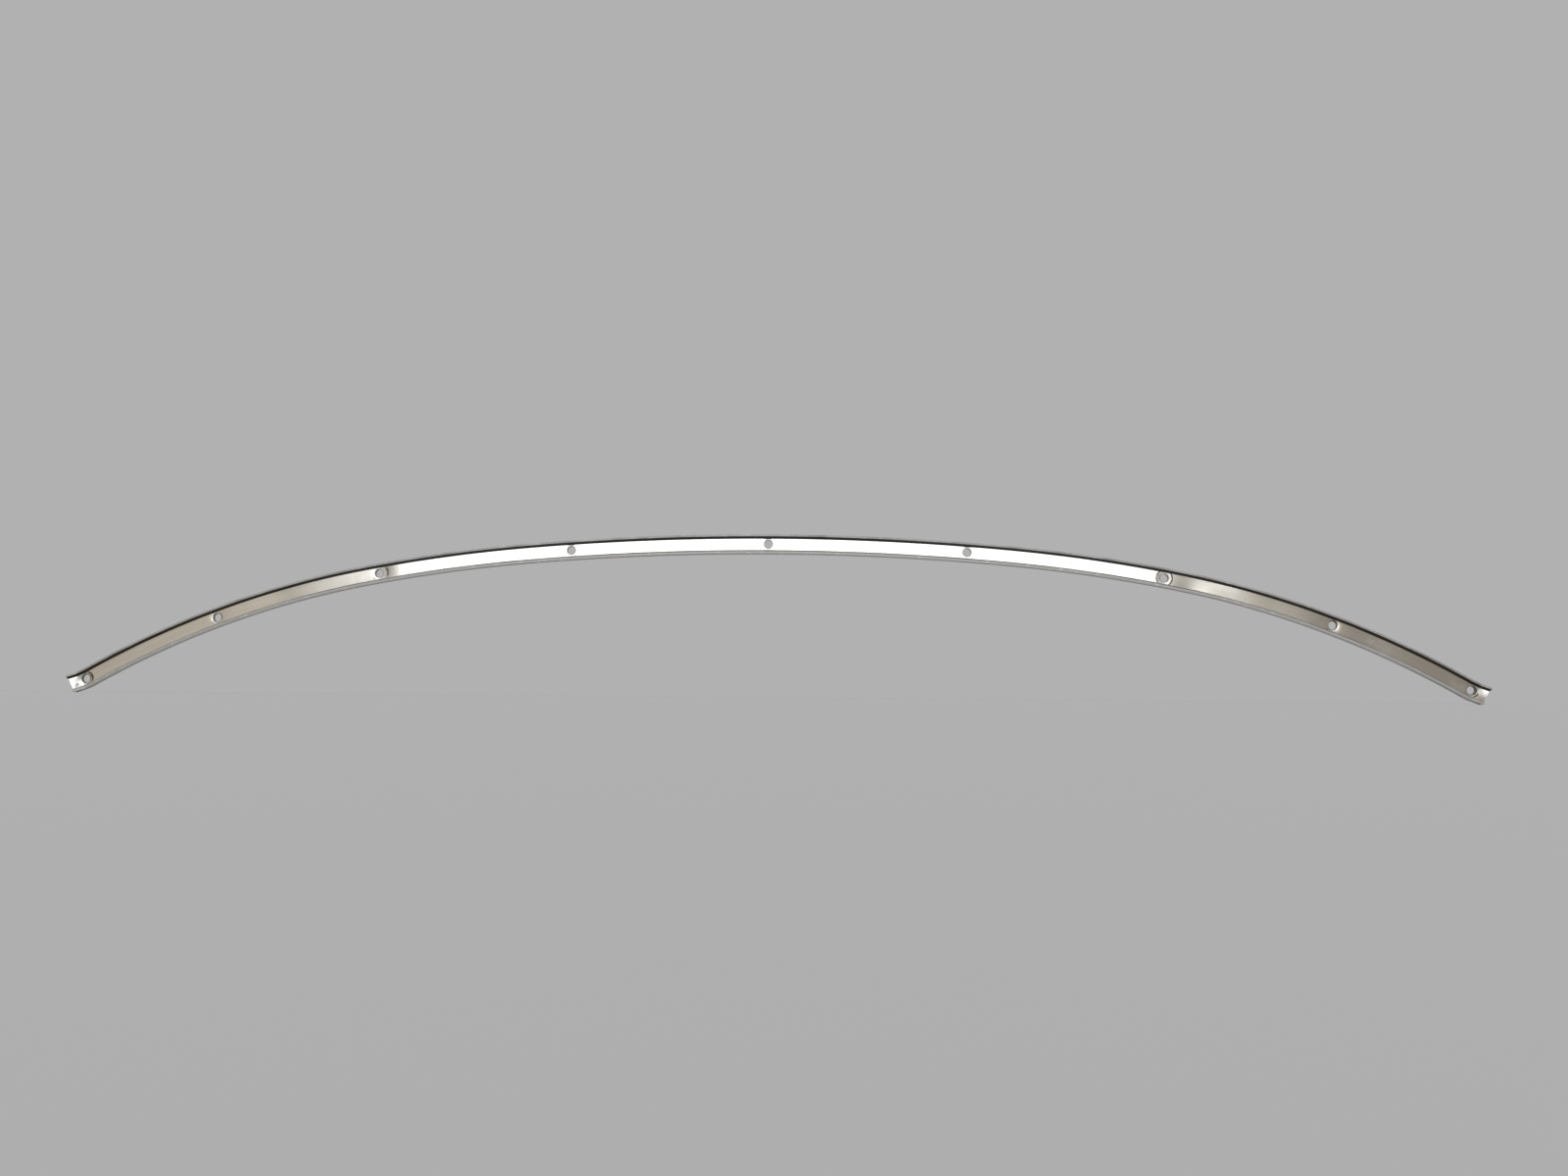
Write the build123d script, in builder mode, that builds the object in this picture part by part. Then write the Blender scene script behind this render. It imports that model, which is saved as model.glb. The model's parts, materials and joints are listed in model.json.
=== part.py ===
from build123d import *
import math
import os

# A bowed trim rail: one aluminium channel, formed to a shallow arch that tightens
# towards its ends, and held on its flat back by a row of screws.
# All sizes are in millimetres. The arch stands in the XZ plane with its crown at the
# top (+Z). The open side of the channel faces -Y, and the flat mounting back lies in
# the plane Y = 0. The origin is on the axis of the middle screw hole, at that back.

# Arch, as arc lengths along the centreline from the crown. Both halves are the same.
CROWN_RADIUS = 2080.0      # gentle middle stretch
SHOULDER_RADIUS = 1200.0   # tighter stretch on each side of it
END_RADIUS = 690.0         # tightest stretch, out to the cut end
CROWN_REACH = 186.0        # where the crown arc hands over to the shoulder arc
SHOULDER_REACH = 314.0     # where the shoulder arc hands over to the end arc
RAIL_REACH = 554.0         # where the rail is cut off

# Channel section, square to the arch.
RAIL_WIDTH = 15.2          # over both lips
RAIL_DEPTH = 5.0           # from the back to the front of the lips, before rounding
WEB_THICKNESS = 3.0        # metal behind the channel floor
FLOOR_WIDTH = 9.0          # flat of the channel floor, between the flared lips
NOSE_WIDTH = 1.7           # front of each lip, before rounding
NOSE_FALL = 0.4            # how far that front slopes back towards its outer edge
NOSE_ROUND = 0.6           # along the two front edges of each lip
ROOT_ROUND = 0.4           # inside corner where a lip meets the floor
BACK_ROUND = 0.5           # along the two edges of the back

# Flat left between the rounded roots, worked out from the slope of the lips' inner sides.
LIP_RUN = RAIL_WIDTH / 2 - NOSE_WIDTH - FLOOR_WIDTH / 2
LIP_SLOPE = math.atan2(RAIL_DEPTH - WEB_THICKNESS, LIP_RUN)
FLAT_WIDTH = FLOOR_WIDTH - 2 * ROOT_ROUND * math.tan(LIP_SLOPE / 2)

# Screw holes, at equal arc lengths to the left and right of the middle one.
HOLE_REACHES = (152.0, 302.0, 432.0, 543.0)
HOLE_DIAMETER = 6.4        # clearance for an M6 screw
SEAT_DIAMETER = 12.0       # shallow dished seat round each hole
SEAT_DEPTH = 0.25          # of the seat, at the edge of the hole

END_CORNER_ROUND = 1.2     # the two corners of each cut end, seen from the front

os.makedirs("parts", exist_ok=True)


def arch_plane(reach, height):
    """A plane on the centreline, at an arc length to the right of the crown.

    Its X runs on along the rail, its Y runs across the rail towards the outside of
    the arch, and it lies at the given height above the back, facing the open side.
    """
    stretches = (
        (CROWN_RADIUS, 0.0, CROWN_REACH),
        (SHOULDER_RADIUS, CROWN_REACH, SHOULDER_REACH),
        (END_RADIUS, SHOULDER_REACH, RAIL_REACH),
    )
    x, z, slope = 0.0, 0.0, 0.0
    for radius, start, stop in stretches:
        turn = max(0.0, min(reach, stop) - start) / radius
        x += radius * (math.sin(slope + turn) - math.sin(slope))
        z -= radius * (math.cos(slope) - math.cos(slope + turn))
        slope += turn
    along = (math.cos(slope), 0, -math.sin(slope))
    return Plane(origin=(x, -height, z), x_dir=along, z_dir=(0, -1, 0))


def draw_stretch(start, stop):
    """One arc of the centreline, between two arc lengths from the crown."""
    reaches = (start, (start + stop) / 2, stop)
    points = [arch_plane(reach, 0.0).origin for reach in reaches]
    ThreePointArc(*[(point.X, point.Z) for point in points])


def cut_screw_holes(places):
    """Through holes, each in a dished seat that is cut off straight at the lip roots."""
    with BuildPart(mode=Mode.PRIVATE) as seat:
        with Locations((0, 0, -SEAT_DEPTH / 2)):
            Cone(HOLE_DIAMETER / 2, SEAT_DIAMETER / 2, SEAT_DEPTH)
            Box(SEAT_DIAMETER, FLAT_WIDTH, SEAT_DEPTH, mode=Mode.INTERSECT)
    with Locations(places):
        add(seat.part, mode=Mode.SUBTRACT)
        Hole(radius=HOLE_DIAMETER / 2, depth=2 * WEB_THICKNESS)


with BuildPart() as rail:
    # The right half's centreline. Its arcs are tangent where they meet.
    with BuildLine(Plane.XZ) as arch:
        draw_stretch(0.0, CROWN_REACH)
        draw_stretch(CROWN_REACH, SHOULDER_REACH)
        draw_stretch(SHOULDER_REACH, RAIL_REACH)

    # The section at the crown. Its X runs from the back out to the front of the
    # lips, and its Y runs up the width of the rail.
    with BuildSketch(Plane(origin=(0, 0, 0), x_dir=(0, -1, 0), z_dir=(-1, 0, 0))) as section:
        with BuildLine():
            Polyline(
                (0, 0),
                (0, RAIL_WIDTH / 2),
                (RAIL_DEPTH - NOSE_FALL, RAIL_WIDTH / 2),
                (RAIL_DEPTH, RAIL_WIDTH / 2 - NOSE_WIDTH),
                (WEB_THICKNESS, FLOOR_WIDTH / 2),
                (WEB_THICKNESS, 0),
                close=True,
            )
        make_face()
        mirror(about=Plane.XZ)
        fillet(section.vertices().group_by(Axis.X)[-1], NOSE_ROUND)
        outer_noses = section.vertices().filter_by_position(
            Axis.X, RAIL_DEPTH - NOSE_FALL, RAIL_DEPTH - NOSE_FALL
        )
        fillet(outer_noses, NOSE_ROUND)
        fillet(section.vertices().group_by(Axis.X)[0], BACK_ROUND)
        roots = section.vertices().filter_by_position(Axis.X, WEB_THICKNESS, WEB_THICKNESS)
        fillet(roots, ROOT_ROUND)
    sweep(sections=section.sketch, path=arch.wires()[0])

    # The cut end is square to the rail, with its two outer corners rounded off.
    side = RAIL_WIDTH / 2
    inset = side - END_CORNER_ROUND
    with BuildSketch(arch_plane(RAIL_REACH, 0.0)) as waste:
        with Locations((0, side), (0, -side)):
            Rectangle(2 * END_CORNER_ROUND, 2 * END_CORNER_ROUND)
        with Locations((-END_CORNER_ROUND, inset), (-END_CORNER_ROUND, -inset)):
            Circle(END_CORNER_ROUND, mode=Mode.SUBTRACT)
    extrude(amount=RAIL_DEPTH, mode=Mode.SUBTRACT)

    cut_screw_holes([arch_plane(reach, WEB_THICKNESS) for reach in HOLE_REACHES])
    mirror(about=Plane.YZ)
    cut_screw_holes([arch_plane(0.0, WEB_THICKNESS)])

rail.part.label = "rail"
export_step(rail.part, "parts/rail.step")
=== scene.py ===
import json
import math
from collections import namedtuple

import bpy
import numpy as np
from mathutils import Matrix, Vector
from mathutils.geometry import delaunay_2d_cdt


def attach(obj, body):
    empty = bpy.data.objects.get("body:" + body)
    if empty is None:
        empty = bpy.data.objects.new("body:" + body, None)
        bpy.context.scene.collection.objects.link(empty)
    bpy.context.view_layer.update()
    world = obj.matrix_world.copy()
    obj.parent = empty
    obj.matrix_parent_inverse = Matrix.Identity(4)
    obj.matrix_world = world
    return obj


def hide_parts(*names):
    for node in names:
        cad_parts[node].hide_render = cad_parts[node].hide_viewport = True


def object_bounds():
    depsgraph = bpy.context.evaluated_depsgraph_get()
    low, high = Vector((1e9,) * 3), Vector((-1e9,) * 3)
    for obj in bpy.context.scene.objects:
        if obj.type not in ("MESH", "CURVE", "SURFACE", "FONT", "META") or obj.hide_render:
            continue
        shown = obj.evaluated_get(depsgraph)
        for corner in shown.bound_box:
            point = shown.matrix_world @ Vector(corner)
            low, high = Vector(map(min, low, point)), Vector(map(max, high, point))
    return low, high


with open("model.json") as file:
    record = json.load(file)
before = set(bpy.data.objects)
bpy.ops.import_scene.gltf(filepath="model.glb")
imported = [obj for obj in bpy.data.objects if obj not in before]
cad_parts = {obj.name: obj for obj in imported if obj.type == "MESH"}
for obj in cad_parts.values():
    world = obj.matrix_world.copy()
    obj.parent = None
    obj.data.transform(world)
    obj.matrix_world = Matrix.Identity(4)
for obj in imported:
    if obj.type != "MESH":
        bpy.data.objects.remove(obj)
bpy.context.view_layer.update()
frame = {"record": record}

# A bowed trim rail in bare aluminium. The imported record gives the places of its screw
# holes. This script builds the same channel as the CAD, in the same place, as one fine
# mesh with the dents, bent ends, dirt and tarnish of a used rail, and with shade and
# highlight painted into its colour in places. Lengths in the rail's own shape are
# millimetres, and are turned into metres when the mesh is written. All others are metres,
# except the lens and the sensor.
#
# Three coordinates describe a point of the rail. Reach is the arc length from the crown,
# positive to the right. Across is the distance from the centreline, positive towards the
# outside of the arch. Height is measured from the flat back towards the open side.

MM = 0.001
SEED = 7
TINY = 1e-6

# The arch: each arc's radius and the reach where it ends, the same on both sides.
Arc = namedtuple("Arc", "radius ends_at")
ARCS = (Arc(2080.0, 186.0), Arc(1200.0, 314.0), Arc(690.0, 554.0))
RAIL_REACH = ARCS[-1].ends_at
ARCH_STEP = 0.05           # between the samples that turn a mount's x into a reach
UNROLL_ROUNDS = 6          # of the search that turns an x and z into a reach

# Section, square to the arch.
HALF_WIDTH = 7.6
DEPTH = 5.0
WEB = 3.0
FLOOR_HALF = 4.5
NOSE_WIDTH = 1.7
NOSE_FALL = 0.4            # the front of each lip slopes down by this much to its outside
NOSE_ROUND = 0.6
ROOT_ROUND = 0.4
BACK_ROUND = 0.5
OPEN_SIDE_FROM = WEB - 0.6    # height above which a point belongs to the open side

# Mesh points along the section.
FLOOR_STOPS = (0.9, 1.8, 2.6, 3.2, 3.6, 3.95)
ROOT_STEPS = 5
NOSE_STEPS = 7
HEEL_STEPS = 5
SIDE_STEPS = 3
BACK_STEPS = 8

# Cut ends.
END_CORNER = 1.2           # rounding of the two corners, seen from the front
END_BEVEL = 0.14
NARROW_FROM = 5.0          # the rounded corners squeeze the section outside this

# Screw holes and the shallow seats round them.
HOLE_RADIUS = 3.2
SEAT_RADIUS = 6.0
SEAT_DEPTH = 0.25
SEAT_CREASE = 0.25         # softness of the seat's rim, as a share of the seat's width
SEAT_HALF = 4.2            # the seat's mesh rings end here, just inside the lip roots
SEAT_CUT = (4.3, 4.65)     # across, where the seat is cut off: from full depth to none
EDGE_BREAK = 0.12
EDGE_CURVE = 0.3           # where the middle point of the broken edge lies, as a share

# Mesh rows and the rings round the holes.
RING_STEPS = 72
SEAT_RINGS = (3.7, 4.2, 4.8, 5.4, 5.8, 6.0, 6.2)
SEAT_CLEAR = 6.45          # grid points nearer the hole than this give way to the rings
HOLE_MARGIN = 0.18         # beyond the hole's edge, with no grid points
HOLE_CLEAR = HOLE_RADIUS + EDGE_BREAK + HOLE_MARGIN
ZONE_HALF = 8.0            # length of finer mesh on each side of a hole
FINE_STEP = 0.5
COARSE_STEP = 2.6
END_STEP = 0.2
SHARP_ANGLE = 34.0         # degrees
UV_SPAN = 100.0            # length of rail for one unit of UV
KEEP_ALL_TRIANGLES = 0     # a mode of delaunay_2d_cdt
MERGE_DISTANCE = 1e-7


def fade(value, start, stop):
    """0 at start, 1 at stop, smooth between."""
    t = np.clip((value - start) / (stop - start), 0.0, 1.0)
    return t * t * (3 - 2 * t)


# ---------------------------------------------------------------- the arch

def arch(reach):
    """The centreline's x, z and slope at signed arc lengths from the crown."""
    reach = np.asarray(reach, float)
    side = np.where(reach < 0, -1.0, 1.0)
    run = np.abs(reach)
    x, z, slope, start = np.zeros_like(run), np.zeros_like(run), np.zeros_like(run), 0.0
    for radius, stop in ARCS:
        last = stop if stop < RAIL_REACH else np.inf    # the last arc runs on past the cut
        turn = (np.clip(run, start, last) - start) / radius
        x = x + radius * (np.sin(slope + turn) - np.sin(slope))
        z = z - radius * (np.cos(slope) - np.cos(slope + turn))
        slope = slope + turn
        start = stop
    return side * x, z, side * slope


def placed(reach, across):
    """The x and z of points of the rail."""
    x, z, slope = arch(reach)
    return x + across * np.sin(slope), z + across * np.cos(slope)


def unrolled(x, z, guess):
    """Reach and across of points near a given reach."""
    reach = np.full_like(x, guess)
    for _ in range(UNROLL_ROUNDS):
        cx, cz, slope = arch(reach)
        reach = reach + (x - cx) * np.cos(slope) - (z - cz) * np.sin(slope)
    cx, cz, slope = arch(reach)
    return reach, (x - cx) * np.sin(slope) + (z - cz) * np.cos(slope)


def screw_reaches():
    """The screw holes from left to right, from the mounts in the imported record."""
    count = round(2 * RAIL_REACH / ARCH_STEP) + 1
    samples = np.linspace(-RAIL_REACH, RAIL_REACH, count)
    samples_x = arch(samples)[0]
    found = []
    for mount in frame["record"]["mounts"]:
        if mount["kind"] != "bolt_pattern":
            continue
        half = mount["dims"]["spacing_x_mm"] / 2
        for x in sorted({-half, half}):
            found.append(float(np.interp(x, samples_x, samples)))
    return sorted(found)


SCREWS = screw_reaches()


# ---------------------------------------------------------------- the section

def between(first, last, count):
    """Evenly spaced points strictly between two points."""
    shares = [(k + 1) / (count + 1) for k in range(count)]
    return [tuple(np.add(first, np.subtract(last, first) * s)) for s in shares]


def rounded(before, corner, after, radius, steps):
    """Points of an arc of the given radius that rounds one corner of an outline."""
    before, corner, after = (np.array(p, float) for p in (before, corner, after))
    back, ahead = before - corner, after - corner
    back, ahead = back / np.linalg.norm(back), ahead / np.linalg.norm(ahead)
    half = math.acos(float(np.clip(back @ ahead, -1, 1))) / 2
    middle = back + ahead
    centre = corner + middle / np.linalg.norm(middle) * radius / math.sin(half)
    cut = radius / math.tan(half)
    start, stop = corner + back * cut, corner + ahead * cut
    first = math.atan2(*(start - centre)[::-1])
    turn = math.atan2(*(stop - centre)[::-1]) - first
    turn = (turn + math.pi) % (2 * math.pi) - math.pi
    angles = first + turn * np.linspace(0, 1, steps + 1)
    return [tuple(centre + radius * np.array([math.cos(a), math.sin(a)])) for a in angles]


def flipped(points):
    """The same run of points on the other half of the section, in reverse."""
    return [(-across, height) for across, height in reversed(points)]


def section():
    """The closed section as (across, height) points.

    The open side runs from one seam to the other, in the middle of the lips' fronts. Also
    gives the index of the open side's last point and those of the back's first and last.
    """
    middle, root = (0.0, WEB), (FLOOR_HALF, WEB)
    nose_in, nose_out = (HALF_WIDTH - NOSE_WIDTH, DEPTH), (HALF_WIDTH, DEPTH - NOSE_FALL)
    heel, back_middle = (HALF_WIDTH, 0.0), (0.0, 0.0)

    root_arc = rounded(middle, root, nose_in, ROOT_ROUND, ROOT_STEPS)
    inner = rounded(root, nose_in, nose_out, NOSE_ROUND, NOSE_STEPS)
    outer = rounded(nose_in, nose_out, heel, NOSE_ROUND, NOSE_STEPS)
    heel_arc = rounded(nose_out, heel, back_middle, BACK_ROUND, HEEL_STEPS)
    seam = tuple((np.array(inner[-1]) + outer[0]) / 2)

    floor = [middle] + [(stop, WEB) for stop in FLOOR_STOPS]
    half_top = floor + root_arc + between(root_arc[-1], inner[0], SIDE_STEPS) + inner + [seam]
    shell = [seam] + outer + between(outer[-1], heel_arc[0], SIDE_STEPS) + heel_arc
    edge = heel_arc[-1][0]
    back = [(edge, 0.0)] + between((edge, 0.0), (-edge, 0.0), BACK_STEPS) + [(-edge, 0.0)]

    top = flipped(half_top) + half_top[1:]
    points = top + shell[1:] + back[1:] + flipped(shell)[1:-1]
    top_end = len(top) - 1
    back_start = top_end + len(shell) - 1
    back_end = back_start + len(back) - 1
    return np.array(points), top_end, back_start, back_end


SECTION, TOP_END, BACK_START, BACK_END = section()
TOP_ACROSS = SECTION[: TOP_END + 1, 0]
TOP_HEIGHT = SECTION[: TOP_END + 1, 1]


def from_screw(reach, across):
    """Distance to the nearest screw's axis."""
    return np.min([np.hypot(reach - screw, across) for screw in SCREWS], axis=0)


def seat_drop(reach, across):
    """How far the dished seats sink the channel floor."""
    into = (SEAT_RADIUS - from_screw(reach, across)) / (SEAT_RADIUS - HOLE_RADIUS)
    soft = (into + np.sqrt(into ** 2 + SEAT_CREASE ** 2)) / 2
    kept = 1 - fade(np.abs(across), *SEAT_CUT)
    return SEAT_DEPTH * np.minimum(soft, 1.0) * kept


def top_height(reach, across):
    """Height of the channel's open side above the back."""
    return np.interp(across, TOP_ACROSS, TOP_HEIGHT) - seat_drop(reach, across)


def narrowed(reach, across):
    """Squeezes the lips inwards over the rounded corners of the cut ends."""
    into = np.clip(np.abs(reach) - (RAIL_REACH - END_CORNER), 0.0, END_CORNER)
    drop = END_CORNER - np.sqrt(END_CORNER ** 2 - into ** 2)
    share = (HALF_WIDTH - drop - NARROW_FROM) / (HALF_WIDTH - NARROW_FROM)
    size = np.abs(across)
    squeezed = NARROW_FROM + (size - NARROW_FROM) * share
    return np.sign(across) * np.where(size > NARROW_FROM, squeezed, size)


# ---------------------------------------------------------------- wear in the shape

def wander(seed, lengths, sizes):
    """A slow random curve along the rail: a sum of waves with seeded phases."""
    phases = np.random.default_rng(SEED + seed).uniform(0, 2 * math.pi, len(lengths))

    def curve(reach):
        """The wave at a reach."""
        turns = [2 * math.pi * reach / length + p for length, p in zip(lengths, phases)]
        return sum(size * np.sin(turn) for size, turn in zip(sizes, turns))
    return curve


TWIST = wander(seed=1, lengths=(410.0, 173.0, 71.0), sizes=(0.006, 0.004, 0.002))
BOW = wander(seed=2, lengths=(530.0, 210.0, 64.0), sizes=(0.10, 0.05, 0.012))

# Soft dents near the screws, which are numbered from 0 at the left end. Along and across
# are measured from the screw's axis. A negative depth is a raised spot.
Dent = namedtuple("Dent", "screw along across depth size")
DENTS = (
    Dent(0, along=-8.6, across=-1.8, depth=0.30, size=1.6),
    Dent(0, along=-5.8, across=3.4, depth=0.50, size=2.4),
    Dent(0, along=6.0, across=0.0, depth=0.10, size=5.0),
    Dent(1, along=1.0, across=1.5, depth=0.30, size=6.0),
    Dent(2, along=8.5, across=0.0, depth=0.18, size=4.5),
    Dent(6, along=1.0, across=-1.0, depth=0.15, size=6.0),
    Dent(7, along=-3.0, across=0.5, depth=0.70, size=9.0),
    Dent(8, along=5.5, across=4.8, depth=0.50, size=4.2),
    Dent(8, along=6.0, across=-5.0, depth=-0.20, size=3.5),
)

# Short stretches rolled about the rail's own length. The channel faces a little upwards
# where the slope is positive.
Roll = namedtuple("Roll", "reach stretch slope")
ROLLS = (
    Roll(318.0, stretch=9.0, slope=-0.030),
    Roll(338.0, stretch=11.0, slope=0.035),
    Roll(-340.0, stretch=20.0, slope=-0.012),
)

# The stubs beyond the end screws: bent forwards from this reach on, and twisted.
STUB_FROM = 546.0
STUB_SOFT = 1.0
STUB_SLOPE = (0.29, 0.20)  # left, right
STUB_TWIST = (0.08, 0.03)  # left, right
STUB_TWIST_RISE = (STUB_FROM - 3, STUB_FROM + 2)

# The last stretch of each end is also kicked outwards, away from the arch's centre.
KICK_FROM = 539.0
KICK = 1.7                 # at the cut end
KICK_CURVE = 1.6


def stub_bend(reach, across):
    """How far the stubs stand forward of the rail's plane."""
    past = np.abs(reach) - STUB_FROM
    slope = np.where(reach < 0, *STUB_SLOPE)
    forward = slope * (past + np.sqrt(past ** 2 + STUB_SOFT ** 2)) / 2
    twist = np.where(reach < 0, *STUB_TWIST)
    return forward - twist * across * fade(np.abs(reach), *STUB_TWIST_RISE)


def end_kick(reach):
    """How far the rail's last stretch stands outwards of the arch."""
    share = np.clip((np.abs(reach) - KICK_FROM) / (RAIL_REACH - KICK_FROM), 0.0, 1.0)
    return KICK * share ** KICK_CURVE


def dented(reach, across, height):
    """Height with the rail's slight twist and bow, its rolls, bent stubs and dents."""
    change = TWIST(reach) * across + BOW(reach) + stub_bend(reach, across)
    for roll in ROLLS:
        near = np.exp(-((reach - roll.reach) / roll.stretch) ** 2)
        change = change - roll.slope * across * near
    share = np.clip(height / WEB, 0.0, 1.0)    # the dents don't reach the back
    for dent in DENTS:
        along = reach - SCREWS[dent.screw] - dent.along
        away = (along ** 2 + (across - dent.across) ** 2) / dent.size ** 2
        change = change - dent.depth * share * np.exp(-away)
    return height + change


# ---------------------------------------------------------------- where it is dirty or clean, and where shade and highlight are painted

# Dirt and painted shade at the screws: part of a ring round a screw's axis. Toward is the
# direction of its middle in degrees: 0 is to the right and 90 is outwards. It fades over
# the spread. Of these, the marks at the hole edges of screws 1 and 7 are painted shade on
# the holes' walls, those toward 90 at screws 3 to 5 are painted shade on the seats' rims
# under the upper lip, and the wide one at 5.3 right of screw 0 is a painted shadow at its
# seat's edge.
DirtAndShadeMark = namedtuple("DirtAndShadeMark", "screw toward spread distance thickness strength")
SCREW_DIRT_AND_SHADE = (
    DirtAndShadeMark(0, toward=0, spread=75, distance=5.3, thickness=1.2, strength=0.95),
    DirtAndShadeMark(0, toward=0, spread=90, distance=3.6, thickness=0.9, strength=0.7),
    DirtAndShadeMark(0, toward=75, spread=45, distance=4.4, thickness=1.0, strength=0.7),
    DirtAndShadeMark(1, toward=205, spread=75, distance=5.8, thickness=0.45, strength=0.62),
    DirtAndShadeMark(1, toward=0, spread=60, distance=3.6, thickness=0.45, strength=1.1),
    DirtAndShadeMark(2, toward=0, spread=60, distance=6.8, thickness=1.6, strength=0.70),
    DirtAndShadeMark(2, toward=215, spread=25, distance=5.6, thickness=0.5, strength=0.8),
    DirtAndShadeMark(3, toward=92, spread=45, distance=4.4, thickness=0.45, strength=0.9),
    DirtAndShadeMark(4, toward=88, spread=45, distance=4.4, thickness=0.45, strength=0.9),
    DirtAndShadeMark(5, toward=90, spread=45, distance=4.4, thickness=0.45, strength=0.9),
    DirtAndShadeMark(4, toward=0, spread=50, distance=5.0, thickness=0.3, strength=0.5),
    DirtAndShadeMark(6, toward=0, spread=400, distance=6.0, thickness=0.55, strength=0.95),
    DirtAndShadeMark(6, toward=190, spread=80, distance=4.3, thickness=0.9, strength=0.55),
    DirtAndShadeMark(7, toward=90, spread=60, distance=3.7, thickness=0.45, strength=1.1),
    DirtAndShadeMark(7, toward=232, spread=16, distance=6.0, thickness=2.6, strength=0.6),
    DirtAndShadeMark(8, toward=20, spread=90, distance=3.7, thickness=0.55, strength=1.1),
    DirtAndShadeMark(8, toward=-25, spread=45, distance=5.2, thickness=0.9, strength=0.9),
    DirtAndShadeMark(8, toward=130, spread=35, distance=6.0, thickness=1.6, strength=0.5),
)

# A dark ring on the edge of every hole.
EDGE_RING_DISTANCE = 3.35
EDGE_RING_THICKNESS = 0.25
EDGE_RING_STRENGTH = 0.85

# The screws' dirt and painted shade stay on the channel floor: across, from all of it to none.
FLOOR_DIRT_AND_SHADE_END = (4.3, 4.6)

# Dull dried-on film.
Film = namedtuple("Film", "reach spread strength")
FILMS = (
    Film(315.0, spread=9.0, strength=0.75),
    Film(-294.5, spread=4.5, strength=0.8),
    Film(-374.0, spread=16.0, strength=0.5),
    Film(380.0, spread=14.0, strength=0.45),
    Film(478.0, spread=20.0, strength=0.3),
)

# Painted shade on the inner sides of the lips, which draws the dark line under the upper
# lip, and a little on the upper lip's front: across, from none to all of it or back.
UPPER_SHADE_START = (4.1, 4.45)
UPPER_SHADE_THINS = (5.7, 6.1)
UPPER_SHADE_LOSS = 0.62    # share of the painted shade left off the front of the upper lip; the rest darkens it
LOWER_SHADE_START = (4.2, 4.6)
LOWER_SHADE_STOP = (5.2, 5.8)
LOWER_SHADE = 0.52         # strength in the middle of the rail
LOWER_SHADE_LOSS = 0.06    # how much weaker it is towards the ends
LOWER_SHADE_LESS = (280.0, 400.0)    # distance from the crown over which it weakens

# Clean rubbed metal, on the lit outer halves of the seats and on the stubs, where its
# lighter colour is also painted highlight.
RUBBED_AND_LIT_SEAT = (3.6, 5.8)   # distance from the screw, from clean to not
RUBBED_AND_LIT_SIDE = 1.5          # half the stretch over which the outer half of a seat begins
RUBBED_AND_LIT_STUB = (STUB_FROM - 1, STUB_FROM + 2)
RUBBED_AND_LIT_STUB_RIGHT = (-2.0, 0.5)      # across: the right stub is clean in its outer half

# Lips, as opposed to the channel floor and the back.
LIP_START = (4.5, 4.9)     # across
LIP_RISE = (0.3, 1.0)      # height


def screw_dirt_and_shade(reach, across, height):
    """Dirt and painted shade on the channel floor round the screws."""
    past_edge = (from_screw(reach, across) - EDGE_RING_DISTANCE) / EDGE_RING_THICKNESS
    total = EDGE_RING_STRENGTH * np.exp(-past_edge ** 2)
    for dirt_and_shade in SCREW_DIRT_AND_SHADE:
        along = reach - SCREWS[dirt_and_shade.screw]
        away = (np.hypot(along, across) - dirt_and_shade.distance) / dirt_and_shade.thickness
        turn = np.degrees(np.arctan2(across, along)) - dirt_and_shade.toward
        turn = (turn + 180) % 360 - 180
        mark = np.exp(-away ** 2 - (turn / dirt_and_shade.spread) ** 2)
        total = np.maximum(total, dirt_and_shade.strength * mark)
    total = total * (1 - fade(np.abs(across), *FLOOR_DIRT_AND_SHADE_END))
    return total * (height > OPEN_SIDE_FROM)


def film(reach, across, height):
    """Patches of dull film on the channel floor."""
    marks = [f.strength * np.exp(-((reach - f.reach) / f.spread) ** 2) for f in FILMS]
    on_floor = (np.abs(across) < FLOOR_HALF) & (height > OPEN_SIDE_FROM)
    return np.max(marks, axis=0) * on_floor


def lip_shade(reach, across, height):
    """Painted shade: on the inner sides of both lips, but not on the cut ends."""
    before_cut = np.abs(reach) < RAIL_REACH - END_BEVEL / 2
    open_side = (height > OPEN_SIDE_FROM) & before_cut
    upper = fade(across, *UPPER_SHADE_START)
    upper = upper * (1 - UPPER_SHADE_LOSS * fade(across, *UPPER_SHADE_THINS))
    lower = fade(-across, *LOWER_SHADE_START) * (1 - fade(-across, *LOWER_SHADE_STOP))
    loss = LOWER_SHADE_LOSS * fade(np.abs(reach), *LOWER_SHADE_LESS)
    lower = lower * (LOWER_SHADE - loss)
    return np.maximum(upper, lower) * open_side


def rubbed_and_lit(reach, across):
    """Where the metal is clean and painted highlight: the outer half of each screw seat, and
    the bent stubs.

    The middle seat has no outer half, and is evenly half clean.
    """
    seats = 1 - fade(from_screw(reach, across), *RUBBED_AND_LIT_SEAT)
    nearest = np.array(SCREWS)[np.argmin([np.abs(reach - screw) for screw in SCREWS], axis=0)]
    seats = seats * fade((reach - nearest) * np.sign(nearest), -RUBBED_AND_LIT_SIDE, RUBBED_AND_LIT_SIDE)
    stubs = fade(np.abs(reach), *RUBBED_AND_LIT_STUB)
    stubs = stubs * np.where(reach < 0, 1.0, fade(across, *RUBBED_AND_LIT_STUB_RIGHT))
    return np.maximum(seats, stubs)


def wear(height):
    """Where handling has scuffed the metal: the fronts of the lips."""
    return fade(height, DEPTH - NOSE_FALL - NOSE_ROUND, DEPTH - NOSE_FALL)


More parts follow.
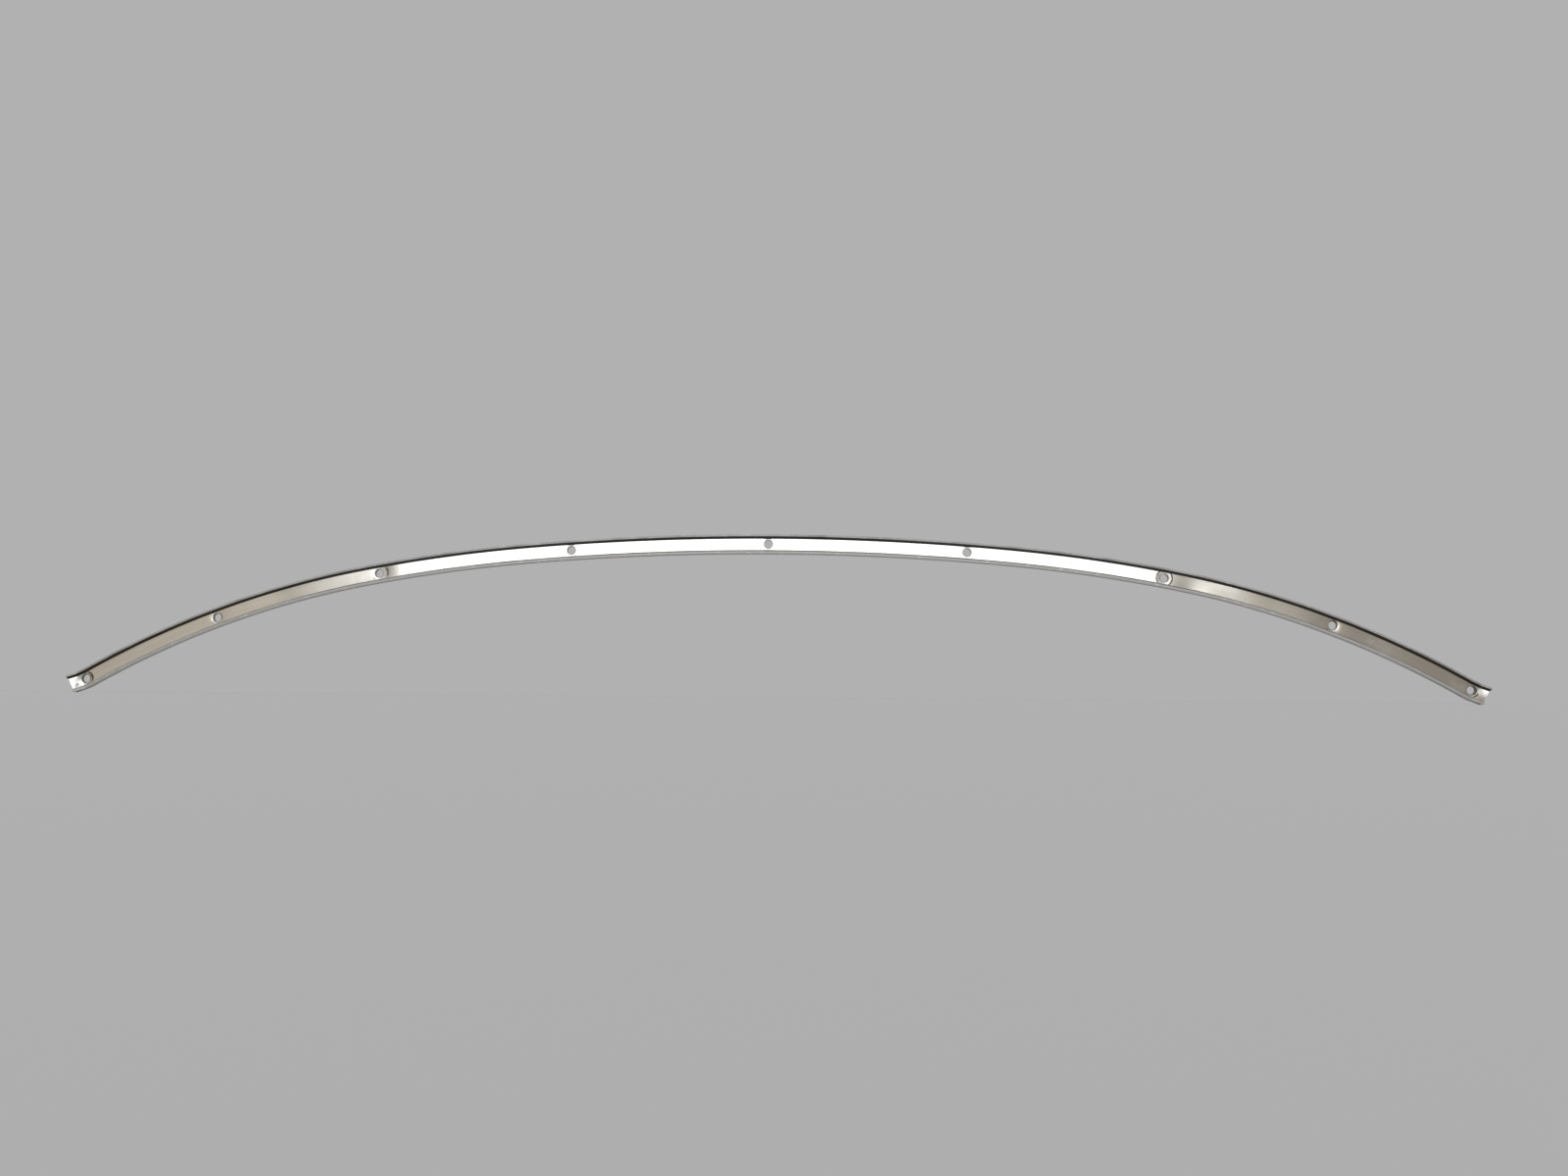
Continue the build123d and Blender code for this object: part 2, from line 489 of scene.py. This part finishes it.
def lips(across, height):
    """1 on the lips, 0 on the channel floor and the back."""
    return fade(np.abs(across), *LIP_START) * fade(height, *LIP_RISE)


# ---------------------------------------------------------------- the mesh

class Skin:
    """Vertices in rail coordinates, with the faces and face-corner UVs laid on them.

    Girth is the distance round the section. Bore is 1 inside the screw holes and 0
    outside them.
    """

    def __init__(self):
        self.reach, self.across, self.height, self.girth, self.bore = [], [], [], [], []
        self.faces, self.uvs = [], []

    def vertex(self, reach, across, height, girth, bore=0.0):
        """Adds a vertex and gives its number."""
        self.reach.append(float(reach))
        self.across.append(float(across))
        self.height.append(float(height))
        self.girth.append(float(girth))
        self.bore.append(float(bore))
        return len(self.reach) - 1

    def face(self, corners, uvs=None):
        """Adds a face, with its corners' own reach and girth as UVs unless others are given."""
        self.faces.append(corners)
        self.uvs.append(uvs or [(self.reach[c], self.girth[c]) for c in corners])


def row_reaches():
    """Where the mesh rows lie: close together round each hole and at the cut ends."""
    marks = [-RAIL_REACH]
    fine_end = RAIL_REACH - 2 * END_CORNER
    stops = [(-fine_end, END_STEP)]
    for reach in SCREWS:
        stops += [(reach - ZONE_HALF, COARSE_STEP), (reach + ZONE_HALF, FINE_STEP)]
    stops += [(fine_end, COARSE_STEP), (RAIL_REACH, END_STEP)]
    for stop, step in stops:
        count = max(1, math.ceil((stop - marks[-1]) / step - TINY))
        marks += list(np.linspace(marks[-1], stop, count + 1)[1:])
    marks[0] += END_BEVEL
    marks[-1] -= END_BEVEL
    return np.array(marks)


def girths():
    """Distance round the section to each of its points, and all the way round."""
    steps = np.linalg.norm(np.diff(np.vstack([SECTION, SECTION[:1]]), axis=0), axis=1)
    return np.concatenate([[0.0], np.cumsum(steps)])


MIDDLE_GIRTH = girths()[TOP_END // 2]


def lay_grid(skin, rows, girth):
    """One vertex for each row and section point, except those in the holes and seats."""
    grid = np.full((len(rows), len(SECTION)), -1)
    for i, reach in enumerate(rows):
        near = from_screw(reach, SECTION[:, 0])
        for j, (across, height) in enumerate(SECTION):
            if j <= TOP_END:
                in_seat = near[j] < SEAT_CLEAR and abs(across) < SEAT_HALF
                if near[j] < HOLE_CLEAR or in_seat:
                    continue
                height = height - seat_drop(reach, across)
            elif BACK_START < j < BACK_END and near[j] < HOLE_CLEAR:
                continue
            grid[i, j] = skin.vertex(reach, narrowed(reach, across), height, girth[j])
    return grid


def in_zone(start, stop):
    """Whether the strip between two rows lies in the finer mesh round a hole."""
    middle = (start + stop) / 2
    return any(abs(middle - screw) < ZONE_HALF for screw in SCREWS)


def lay_strips(skin, rows, grid, girth):
    """Quads between neighbouring rows, leaving the patches round the holes open."""
    count = len(SECTION)
    for i in range(len(rows) - 1):
        zone = in_zone(rows[i], rows[i + 1])
        for j in range(count):
            if zone and (j < TOP_END or BACK_START <= j < BACK_END):
                continue
            k = (j + 1) % count
            low, high = girth[j], girth[j + 1]
            a, b = rows[i], rows[i + 1]
            skin.face(
                [grid[i, j], grid[i + 1, j], grid[i + 1, k], grid[i, k]],
                [(a, low), (b, low), (b, high), (a, high)],
            )


def ring(skin, screw, radius, height_of, bore=0.0, limit=math.inf):
    """A ring of vertices round a screw's axis, or the part of one within the limit across."""
    cx, cz, slope = arch(screw)
    angles = np.arange(RING_STEPS) * 2 * math.pi / RING_STEPS
    u, w = radius * np.cos(angles), radius * np.sin(angles)
    x = cx + u * np.cos(slope) + w * np.sin(slope)
    z = cz - u * np.sin(slope) + w * np.cos(slope)
    reach, across = unrolled(x, z, screw)
    return [
        skin.vertex(r, a, height_of(r, a), MIDDLE_GIRTH + a, bore)
        for r, a in zip(reach, across) if abs(a) < limit
    ]


def fill_patch(skin, kept, hole_ring, screw, on_front):
    """Triangles between the grid round a hole and the ring on its edge."""
    ids = list(kept) + list(hole_ring)
    flat = [Vector((skin.reach[v] - screw, skin.across[v])) for v in ids]
    first = len(kept)
    edges = [(first + n, first + (n + 1) % RING_STEPS) for n in range(RING_STEPS)]
    result = delaunay_2d_cdt(flat, edges, [], KEEP_ALL_TRIANGLES, MERGE_DISTANCE)
    triangles, source = result[2], result[3]
    for triangle in triangles:
        corners = [ids[source[v][0]] for v in triangle]
        if set(corners) <= set(hole_ring):
            continue
        skin.face(corners if on_front else corners[::-1])


def hole_rings(skin, screw):
    """The rings down one hole, from its edge on the floor to its edge on the back."""
    wide, soft = HOLE_RADIUS + EDGE_BREAK, HOLE_RADIUS + EDGE_CURVE * EDGE_BREAK
    soft_drop = EDGE_CURVE * EDGE_BREAK
    return [
        ring(skin, screw, wide, top_height),
        ring(skin, screw, soft, lambda r, a: top_height(r, a) - soft_drop, 0.5),
        ring(skin, screw, HOLE_RADIUS, lambda r, a: top_height(r, a) - EDGE_BREAK, 1.0),
        ring(skin, screw, HOLE_RADIUS, lambda r, a: WEB / 2, 1.0),
        ring(skin, screw, HOLE_RADIUS, lambda r, a: EDGE_BREAK, 1.0),
        ring(skin, screw, wide, lambda r, a: 0.0, 0.5),
    ]


def lay_hole(skin, rows, grid, screw):
    """The seat, bore and surrounding patches of one screw hole."""
    near = [i for i, reach in enumerate(rows) if abs(reach - screw) < ZONE_HALF + TINY]
    top = [grid[i, j] for i in near for j in range(TOP_END + 1)]
    back = [grid[i, j] for i in near for j in range(BACK_START, BACK_END + 1)]
    top, back = [v for v in top if v >= 0], [v for v in back if v >= 0]
    for radius in SEAT_RINGS:
        top += ring(skin, screw, radius, top_height, limit=SEAT_HALF)

    rings = hole_rings(skin, screw)
    fill_patch(skin, top, rings[0], screw, on_front=True)
    fill_patch(skin, back, rings[-1], screw, on_front=False)
    step = 2 * math.pi * HOLE_RADIUS / RING_STEPS
    for depth, (upper, lower) in enumerate(zip(rings, rings[1:])):
        for n in range(RING_STEPS):
            m = (n + 1) % RING_STEPS
            uvs = [(n * step, -depth), ((n + 1) * step, -depth),
                   ((n + 1) * step, -depth - 1.0), (n * step, -depth - 1.0)]
            skin.face([upper[n], upper[m], lower[m], lower[n]], uvs)


def outward_normals():
    """Unit vectors pointing out of the section at each of its points."""
    ahead = np.roll(SECTION, -1, axis=0) - SECTION
    behind = SECTION - np.roll(SECTION, 1, axis=0)
    ahead /= np.linalg.norm(ahead, axis=1, keepdims=True)
    behind /= np.linalg.norm(behind, axis=1, keepdims=True)
    along = ahead + behind
    normal = np.stack([-along[:, 1], along[:, 0]], axis=1)
    return normal / np.linalg.norm(normal, axis=1, keepdims=True)


def lay_end(skin, row, reach):
    """The cut face of one end, set in by a small bevel."""
    inset = SECTION - END_BEVEL * outward_normals()
    inner = [
        skin.vertex(reach, narrowed(reach, a), h, g)
        for (a, h), g in zip(inset, girths())
    ]
    count = len(SECTION)
    for j in range(count):
        k = (j + 1) % count
        quad = [row[j], inner[j], inner[k], row[k]]
        skin.face(quad if reach > 0 else quad[::-1])
    cap = inner[::-1] if reach > 0 else inner
    skin.face(cap, [(skin.across[v], skin.height[v]) for v in cap])


def lay_rail():
    """The whole rail, undented, in rail coordinates."""
    skin = Skin()
    rows, girth = row_reaches(), girths()
    grid = lay_grid(skin, rows, girth)
    lay_strips(skin, rows, grid, girth)
    for screw in SCREWS:
        lay_hole(skin, rows, grid, screw)
    lay_end(skin, grid[0], -RAIL_REACH)
    lay_end(skin, grid[-1], RAIL_REACH)
    return skin


def add_values(mesh, name, values):
    """Stores one number for each vertex, for the material to read."""
    attribute = mesh.attributes.new(name, "FLOAT", "POINT")
    attribute.data.foreach_set("value", np.asarray(values, np.float32))


def build_rail():
    """The rail as a Blender object, with the numbers its material needs."""
    skin = lay_rail()
    reach, across, height = (np.array(v) for v in (skin.reach, skin.across, skin.height))
    x, z = placed(reach, across + end_kick(reach))
    y = -dented(reach, across, height)
    points = np.stack([x, y, z], axis=1) * MM

    mesh = bpy.data.meshes.new("trim_rail")
    mesh.from_pydata([tuple(p) for p in points], [], [[int(v) for v in f] for f in skin.faces])
    uv = mesh.uv_layers.new(name="Along")
    flat = np.array([c for corners in skin.uvs for c in corners], np.float32) / UV_SPAN
    uv.data.foreach_set("uv", flat.ravel())
    add_values(mesh, "reach", reach * MM)
    add_values(mesh, "girth", np.array(skin.girth) * MM)
    add_values(mesh, "bore", skin.bore)
    add_values(mesh, "lip_shade", lip_shade(reach, across, height))
    add_values(mesh, "stain_and_shade", screw_dirt_and_shade(reach, across, height))
    add_values(mesh, "film", film(reach, across, height))
    add_values(mesh, "rubbed_and_lit", rubbed_and_lit(reach, across))
    add_values(mesh, "wear", wear(height))
    add_values(mesh, "lips", lips(across, height))
    mesh.update()
    mesh.shade_smooth()
    mesh.set_sharp_from_angle(angle=math.radians(SHARP_ANGLE))
    rail = bpy.data.objects.new("trim_rail", mesh)
    bpy.context.scene.collection.objects.link(rail)
    return rail


# ---------------------------------------------------------------- the metal

# Colours. Most are a pair: the darker and the lighter streaks or spots.
CLEAN = ((0.79, 0.78, 0.76, 1), (0.88, 0.875, 0.865, 1))
AGED_LEFT = ((0.81, 0.72, 0.56, 1), (0.93, 0.86, 0.72, 1))
AGED_RIGHT = ((0.46, 0.40, 0.32, 1), (0.55, 0.49, 0.41, 1))
# The lips' tone: warmer at the ends with tarnish, and darker in the middle as painted shade
# that evens out the brighter light the lips catch there.
LIP_AT_MIDDLE = ((0.28, 0.276, 0.265, 1), (0.37, 0.366, 0.355, 1))
LIP_AT_ENDS = ((0.42, 0.41, 0.385, 1), (0.51, 0.50, 0.475, 1))
SCUFFED = ((0.44, 0.436, 0.42, 1), (0.55, 0.546, 0.53, 1))
# Tones of the painted shade on the lips' inner sides, at the middle and at the ends.
LIP_SHADE_AT_MIDDLE = ((0.022, 0.025, 0.024, 1), (0.046, 0.049, 0.045, 1))
LIP_SHADE_AT_ENDS = ((0.018, 0.015, 0.009, 1), (0.055, 0.044, 0.027, 1))
# Tones of the screws' marks, which are dirt in places and painted shade in others.
BROWN = ((0.050, 0.033, 0.015, 1), (0.15, 0.105, 0.055, 1))
FILM_TONE = (0.44, 0.40, 0.33, 1)
NICK_TONE = (0.74, 0.735, 0.72, 1)
# Painted shade inside the screw holes' bores.
BORE_SHADE_TONE = (0.055, 0.048, 0.040, 1)

# Lengthwise lines: noise cycles for each metre along the rail and round its section.
FINE_LINES = {"along": 30, "around": 5200, "detail": 3.0, "rough": 0.6}
BROAD_LINES = {"along": 9, "around": 900, "detail": 4.0, "rough": 0.6}
NICKS = {"along": 160, "around": 700, "detail": 2.0, "rough": 0.5}

# Patches: noise cycles for each metre.
CLOUD = {"scale": 38, "detail": 5.0, "rough": 0.6, "warp": 0.4}
SPOTS = {"scale": 420, "detail": 3.0, "rough": 0.6}
SWELLS = {"scale": 110, "detail": 2.0, "rough": 0.5}

# Distances from the crown, in metres, over which the ends and the right end begin.
ENDS_BEGIN = (0.26, 0.44)
RIGHT_BEGINS = (0.30, 0.44)

# How the patterns turn into marks: the part of a pattern's range over which they begin.
STREAKS = (0.34, 0.66)
TARNISH_PATCHES = (0.14, 0.46)
FILM_PATCHES = (0.15, 0.6)
NICK_SIZE = (0.60, 0.68)
LIP_SHADE_EDGE = (0.22, 0.72)
STAIN_AND_SHADE_EDGE = (0.2, 0.85)

# Strengths.
FINE_SHARE = 0.4           # of the streaks, where the rest comes from the broad lines
TARNISH_AT_MIDDLE = 0.2
TARNISH_AT_ENDS = 0.95
RUBBED_AND_LIT_OFF = 0.85          # share of the tarnish that is gone where the metal is rubbed and painted highlight
FILM_STRENGTH = (0.6, 1.1)    # between its patches, in them
LIP_SHADE_BREAKUP = 0.35       # how much the clouds break up the lips' painted shade
STAIN_AND_SHADE_BREAKUP = 0.6        # how much the spots break up the screws' dirt and painted shade

# How fully each tone covers the metal below it.
LIP_TONE_SHARE = 0.9
SCUFF_TONE_SHARE = 0.85
BORE_SHADE_SHARE = 0.85

# Roughness of clean metal, and what is added by each thing on it.
CLEAN_ROUGHNESS = 0.17
LINES_ROUGHEN = 0.12
TARNISH_ROUGHENS = 0.14
DIRT_AND_SHADE_ROUGHEN = 0.30
FILM_ROUGHENS = 0.30
LIPS_ROUGHEN = 0.22

# How far each thing hides the metal's shine.
DIRT_AND_SHADE_HIDE = 0.75
LIPS_HIDE = 0.65
FILM_HIDES = 0.7
BORE_HIDES = 0.7

# The drawn surface reflects in streaks, and less so inside the holes.
ANISOTROPY = 0.6
BORE_ANISOTROPY = 0.2
ACROSS_THE_LINES = 0.25    # of a full turn

# Relief: heights in metres, and how strongly each shows.
SWELL_HEIGHT = 0.00012
SWELL_STRENGTH = 0.5
LINE_HEIGHT = 0.00006
LINE_STRENGTH = 0.25

# How much of the line height comes from the fine lines, the broad lines, and the dirt and
# painted shade.
FINE_RELIEF = 0.35
BROAD_RELIEF = 0.4
DIRT_AND_SHADE_RELIEF = 0.8

# The mix node's sockets when it mixes colours.
MIX_SHARE, MIX_FIRST, MIX_SECOND, MIX_RESULT = 0, 6, 7, 2

# What the parts of the material share: the place on the rail, two kinds of line, two of
# patch, how near both ends or the right end is, and how much tarnish and film there is.
Patterns = namedtuple("Patterns", "place fine broad cloud spots ends right tarnish filmed")


class Graph:
    """Small helper that adds shader nodes and links them."""

    def __init__(self, material):
        material.use_nodes = True
        self.tree = material.node_tree
        self.tree.nodes.clear()

    def add(self, kind, inputs=None, **settings):
        """A node with the given settings. Its inputs are numbers, colours or sockets."""
        node = self.tree.nodes.new(kind)
        for name, value in settings.items():
            setattr(node, name, value)
        for name, value in (inputs or {}).items():
            socket = node.inputs[name]
            if isinstance(value, bpy.types.NodeSocket):
                self.tree.links.new(value, socket)
            else:
                socket.default_value = value
        return node

    def math(self, operation, first, second=0.0, third=0.0):
        """The result of one operation on numbers."""
        node = self.add("ShaderNodeMath", {0: first, 1: second, 2: third}, operation=operation)
        return node.outputs[0]

    def times(self, first, second):
        """first * second."""
        return self.math("MULTIPLY", first, second)

    def scaled(self, value, factor, offset):
        """value * factor + offset."""
        return self.math("MULTIPLY_ADD", value, factor, offset)

    def most(self, first, second):
        """The larger of two numbers."""
        return self.math("MAXIMUM", first, second)

    def shifted(self, value, noise, size):
        """A value pushed up and down by a noise that swings about 0.5."""
        return self.scaled(self.math("SUBTRACT", noise, 0.5), size, value)

    def value(self, name):
        """A number stored on the mesh."""
        return self.add("ShaderNodeAttribute", attribute_name=name).outputs["Fac"]

    def noise(self, vector, scale, detail, rough, warp=0.0):
        """A cloudy noise from 0 to 1."""
        inputs = {"Vector": vector, "Scale": scale, "Detail": detail,
                  "Roughness": rough, "Distortion": warp}
        return self.add("ShaderNodeTexNoise", inputs).outputs["Fac"]

    def lines(self, along, around, detail, rough):
        """A noise drawn out into lines that run along the rail."""
        vector = self.add("ShaderNodeCombineXYZ", {
            "X": self.times(self.value("reach"), along),
            "Y": self.times(self.value("girth"), around),
            "Z": 0.0,
        })
        return self.noise(vector.outputs[0], 1.0, detail, rough)

    def ramp(self, value, low, high, bottom=0.0, top=1.0):
        """A smooth step: bottom where the value is below low, top where it is above high."""
        inputs = {"Value": value, "From Min": low, "From Max": high,
                  "To Min": bottom, "To Max": top}
        node = self.add("ShaderNodeMapRange", inputs, interpolation_type="SMOOTHSTEP")
        return node.outputs[0]

    def mix(self, share, first, second):
        """A colour between two others."""
        inputs = {MIX_SHARE: share, MIX_FIRST: first, MIX_SECOND: second}
        return self.add("ShaderNodeMix", inputs, data_type="RGBA").outputs[MIX_RESULT]


def lay_patterns(g):
    """The noises and slow changes that the whole material draws on."""
    place = g.add("ShaderNodeTexCoord").outputs["Object"]
    cloud = g.noise(place, **CLOUD)
    ends = g.ramp(g.math("ABSOLUTE", g.value("reach")), *ENDS_BEGIN)
    growth = g.scaled(ends, TARNISH_AT_ENDS - TARNISH_AT_MIDDLE, TARNISH_AT_MIDDLE)
    tarnish = g.times(g.ramp(cloud, *TARNISH_PATCHES), growth)
    return Patterns(
        place=place,
        fine=g.lines(**FINE_LINES),
        broad=g.lines(**BROAD_LINES),
        cloud=cloud,
        spots=g.noise(place, **SPOTS),
        ends=ends,
        right=g.ramp(g.value("reach"), *RIGHT_BEGINS),
        tarnish=g.times(tarnish, g.scaled(g.value("rubbed_and_lit"), -RUBBED_AND_LIT_OFF, 1.0)),
        filmed=g.times(g.value("film"), g.ramp(cloud, *FILM_PATCHES, *FILM_STRENGTH)),
    )


def floor_colour(g, p):
    """Streaked metal under its tarnish and film."""
    lines = g.scaled(p.fine, FINE_SHARE, g.times(p.broad, 1 - FINE_SHARE))
    streaks = g.ramp(lines, *STREAKS)
    aged = g.mix(p.right, g.mix(streaks, *AGED_LEFT), g.mix(streaks, *AGED_RIGHT))
    bare = g.mix(p.tarnish, g.mix(streaks, *CLEAN), aged)
    return g.mix(p.filmed, bare, FILM_TONE)


def metal_colour(g, p):
    """The whole rail without its dirt: floor, dull lips, scuffs, nicks, painted shade in the
    bores, and the lips' tone with painted shade in the middle.
    """
    lip = g.mix(p.ends, g.mix(p.fine, *LIP_AT_MIDDLE), g.mix(p.fine, *LIP_AT_ENDS))
    metal = g.mix(g.times(g.value("lips"), LIP_TONE_SHARE), floor_colour(g, p), lip)
    scuffed = g.mix(p.broad, *SCUFFED)
    metal = g.mix(g.times(g.value("wear"), SCUFF_TONE_SHARE), metal, scuffed)
    nicks = g.ramp(g.lines(**NICKS), *NICK_SIZE)
    metal = g.mix(g.times(nicks, g.value("wear")), metal, NICK_TONE)
    return g.mix(g.times(g.value("bore"), BORE_SHADE_SHARE), metal, BORE_SHADE_TONE)


def dirty_and_shaded_colour(g, p, metal, lip_shaded, stained_and_shaded):
    """The metal under the painted shade on the lips and the dirt and painted shade at the
    screws.
    """
    lip_shade_tone = g.mix(p.ends, g.mix(p.spots, *LIP_SHADE_AT_MIDDLE), g.mix(p.spots, *LIP_SHADE_AT_ENDS))
    colour = g.mix(lip_shaded, metal, lip_shade_tone)
    return g.mix(stained_and_shaded, colour, g.mix(p.spots, *BROWN))


def roughness(g, p, dirt_and_shade):
    """Smoothest on clean metal, and rougher under everything that lies on it and where shade is
    painted.
    """
    rough = g.scaled(p.fine, LINES_ROUGHEN, CLEAN_ROUGHNESS)
    rough = g.scaled(p.tarnish, TARNISH_ROUGHENS, rough)
    rough = g.scaled(dirt_and_shade, DIRT_AND_SHADE_ROUGHEN, rough)
    rough = g.scaled(p.filmed, FILM_ROUGHENS, rough)
    return g.scaled(g.value("lips"), LIPS_ROUGHEN, rough)


def metalness(g, p, dirt_and_shade):
    """Full on clean metal, and less where it is covered or dulled and where shade is painted.
    """
    hidden = g.most(g.times(dirt_and_shade, DIRT_AND_SHADE_HIDE), g.times(g.value("lips"), LIPS_HIDE))
    hidden = g.most(hidden, g.times(p.filmed, FILM_HIDES))
    hidden = g.most(hidden, g.times(g.value("bore"), BORE_HIDES))
    return g.math("SUBTRACT", 1.0, hidden)


def relief(g, p, dirt_and_shade):
    """The surface normal: lines and crusted dirt, also raised where shade is painted, over a
    slow unevenness.
    """
    lines = g.scaled(p.broad, BROAD_RELIEF, g.times(p.fine, FINE_RELIEF))
    crusted_dirt_and_shade = g.scaled(g.times(p.spots, dirt_and_shade), DIRT_AND_SHADE_RELIEF, lines)
    swells = g.add("ShaderNodeBump", {
        "Height": g.noise(p.place, **SWELLS),
        "Distance": SWELL_HEIGHT,
        "Strength": SWELL_STRENGTH,
    })
    surface = g.add("ShaderNodeBump", {
        "Height": crusted_dirt_and_shade,
        "Distance": LINE_HEIGHT,
        "Strength": LINE_STRENGTH,
        "Normal": swells.outputs[0],
    })
    return surface.outputs[0]


def aluminium():
    """Drawn aluminium, used outdoors for years."""
    material = bpy.data.materials.new("worn_aluminium")
    g = Graph(material)
    p = lay_patterns(g)
    lip_shaded = g.ramp(g.shifted(g.value("lip_shade"), p.cloud, LIP_SHADE_BREAKUP), *LIP_SHADE_EDGE)
    stained_and_shaded = g.ramp(g.shifted(g.value("stain_and_shade"), p.spots, STAIN_AND_SHADE_BREAKUP), *STAIN_AND_SHADE_EDGE)
    dirt_and_shade = g.most(lip_shaded, stained_and_shaded)
    tangent = g.add("ShaderNodeTangent", direction_type="UV_MAP", uv_map="Along")
    shader = g.add("ShaderNodeBsdfPrincipled", {
        "Base Color": dirty_and_shaded_colour(g, p, metal_colour(g, p), lip_shaded, stained_and_shaded),
        "Metallic": metalness(g, p, dirt_and_shade),
        "Roughness": roughness(g, p, dirt_and_shade),
        "Anisotropic": g.scaled(g.value("bore"), BORE_ANISOTROPY - ANISOTROPY, ANISOTROPY),
        "Anisotropic Rotation": ACROSS_THE_LINES,
        "Tangent": tangent.outputs[0],
        "Normal": relief(g, p, dirt_and_shade),
    })
    g.add("ShaderNodeOutputMaterial", {"Surface": shader.outputs[0]})
    return material


# ---------------------------------------------------------------- the studio

FLOOR_SIZE = 30.0
FLOOR_TONE = (0.54, 0.54, 0.545, 1)
BACK_TONE = (0.44, 0.44, 0.445, 1)
FLOOR_BLEND = (0.7, 2.6)   # distances over which the floor turns into the backdrop
FLOOR_ROUGHNESS = 0.8

# The camera stands in front of the rail, level with its ends. Angles in degrees.
CAMERA_PLACE = (0.0364, -0.8678, -0.1161)
CAMERA_TURN = 1.596        # to the left
CAMERA_TIP = 5.447         # upwards
CAMERA_ROLL = 0.514        # anticlockwise
CAMERA_LENS = 26.113       # millimetres
CAMERA_SENSOR = 36.0       # millimetres
CLOSEST, FARTHEST = 0.001, 100.0

# A large panel in front, which the channel floor mirrors, and an even light above.
FRONT = {
    "place": (-0.015, -1.05, 0.275), "target": (-0.015, 0.0, 0.275),
    "width": 1.47, "height": 0.65, "power": 4.75,
}
OVERHEAD = {
    "place": (0.0, 0.0, 2.5), "target": (0.0, 0.0, 0.0),
    "width": 6.0, "height": 6.0, "power": 62.0, "tone": (1, 0.99, 0.97),
}


def pale_floor_material():
    """A matt pale floor that fades into the backdrop with distance."""
    material = bpy.data.materials.new("pale_floor")
    g = Graph(material)
    place = g.add("ShaderNodeTexCoord").outputs["Object"]
    distance = g.add("ShaderNodeVectorMath", {0: place}, operation="LENGTH").outputs["Value"]
    matt = {"Base Color": FLOOR_TONE, "Roughness": FLOOR_ROUGHNESS}
    near = g.add("ShaderNodeBsdfPrincipled", matt)
    far = g.add("ShaderNodeEmission", {"Color": BACK_TONE})
    share = g.ramp(distance, *FLOOR_BLEND)
    shader = g.add("ShaderNodeMixShader", {0: share, 1: near.outputs[0], 2: far.outputs[0]})
    g.add("ShaderNodeOutputMaterial", {"Surface": shader.outputs[0]})
    return material


def add_floor():
    """A floor that touches the rail's lowest point."""
    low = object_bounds()[0].z
    sides = ((-1, -1), (1, -1), (1, 1), (-1, 1))
    corners = [(x * FLOOR_SIZE, y * FLOOR_SIZE, low) for x, y in sides]
    mesh = bpy.data.meshes.new("studio_floor")
    mesh.from_pydata(corners, [], [(0, 1, 2, 3)])
    mesh.materials.append(pale_floor_material())
    floor = bpy.data.objects.new("studio_floor", mesh)
    bpy.context.scene.collection.objects.link(floor)


def add_panel(name, place, target, width, height, power, tone=(1, 1, 1)):
    """A soft rectangular light that the camera doesn't see."""
    data = bpy.data.lights.new(name, "AREA")
    data.shape = "RECTANGLE"
    data.size, data.size_y = width, height
    data.energy = power
    data.color = tone
    panel = bpy.data.objects.new(name, data)
    panel.location = place
    panel.rotation_euler = (Vector(target) - Vector(place)).to_track_quat("-Z", "Y").to_euler()
    panel.visible_camera = False
    bpy.context.scene.collection.objects.link(panel)
    return panel


def shine_only_on(panel, piece):
    """Keeps a light off everything except one piece, so the floor stays evenly lit."""
    lit = bpy.data.collections.new(panel.name + "_lights")
    lit.objects.link(piece)
    panel.light_linking.receiver_collection = lit


def add_lights(rail):
    """The two panels."""
    front = add_panel("front_panel", **FRONT)
    shine_only_on(front, rail)
    add_panel("overhead", **OVERHEAD)


def set_world():
    """An even grey backdrop that also lights the scene."""
    world = bpy.data.worlds.new("studio")
    bpy.context.scene.world = world
    world.use_nodes = True
    background = world.node_tree.nodes["Background"]
    background.inputs["Color"].default_value = BACK_TONE
    background.inputs["Strength"].default_value = 1.0


def add_camera():
    """The main view, almost square on to the rail."""
    data = bpy.data.cameras.new("camera")
    data.sensor_width = CAMERA_SENSOR
    data.lens = CAMERA_LENS
    data.clip_start = CLOSEST
    data.clip_end = FARTHEST
    camera = bpy.data.objects.new("camera", data)
    placement = Matrix.Translation(CAMERA_PLACE)
    for turn, axis in ((CAMERA_TURN, "Z"), (90 + CAMERA_TIP, "X"), (CAMERA_ROLL, "Z")):
        placement = placement @ Matrix.Rotation(math.radians(turn), 4, axis)
    camera.matrix_world = placement
    bpy.context.scene.collection.objects.link(camera)
    bpy.context.scene.camera = camera


rail = build_rail()
rail.data.materials.append(aluminium())
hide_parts("rail")
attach(rail, "root")

add_floor()
add_lights(rail)
set_world()
add_camera()
bpy.context.scene.view_settings.view_transform = "Standard"
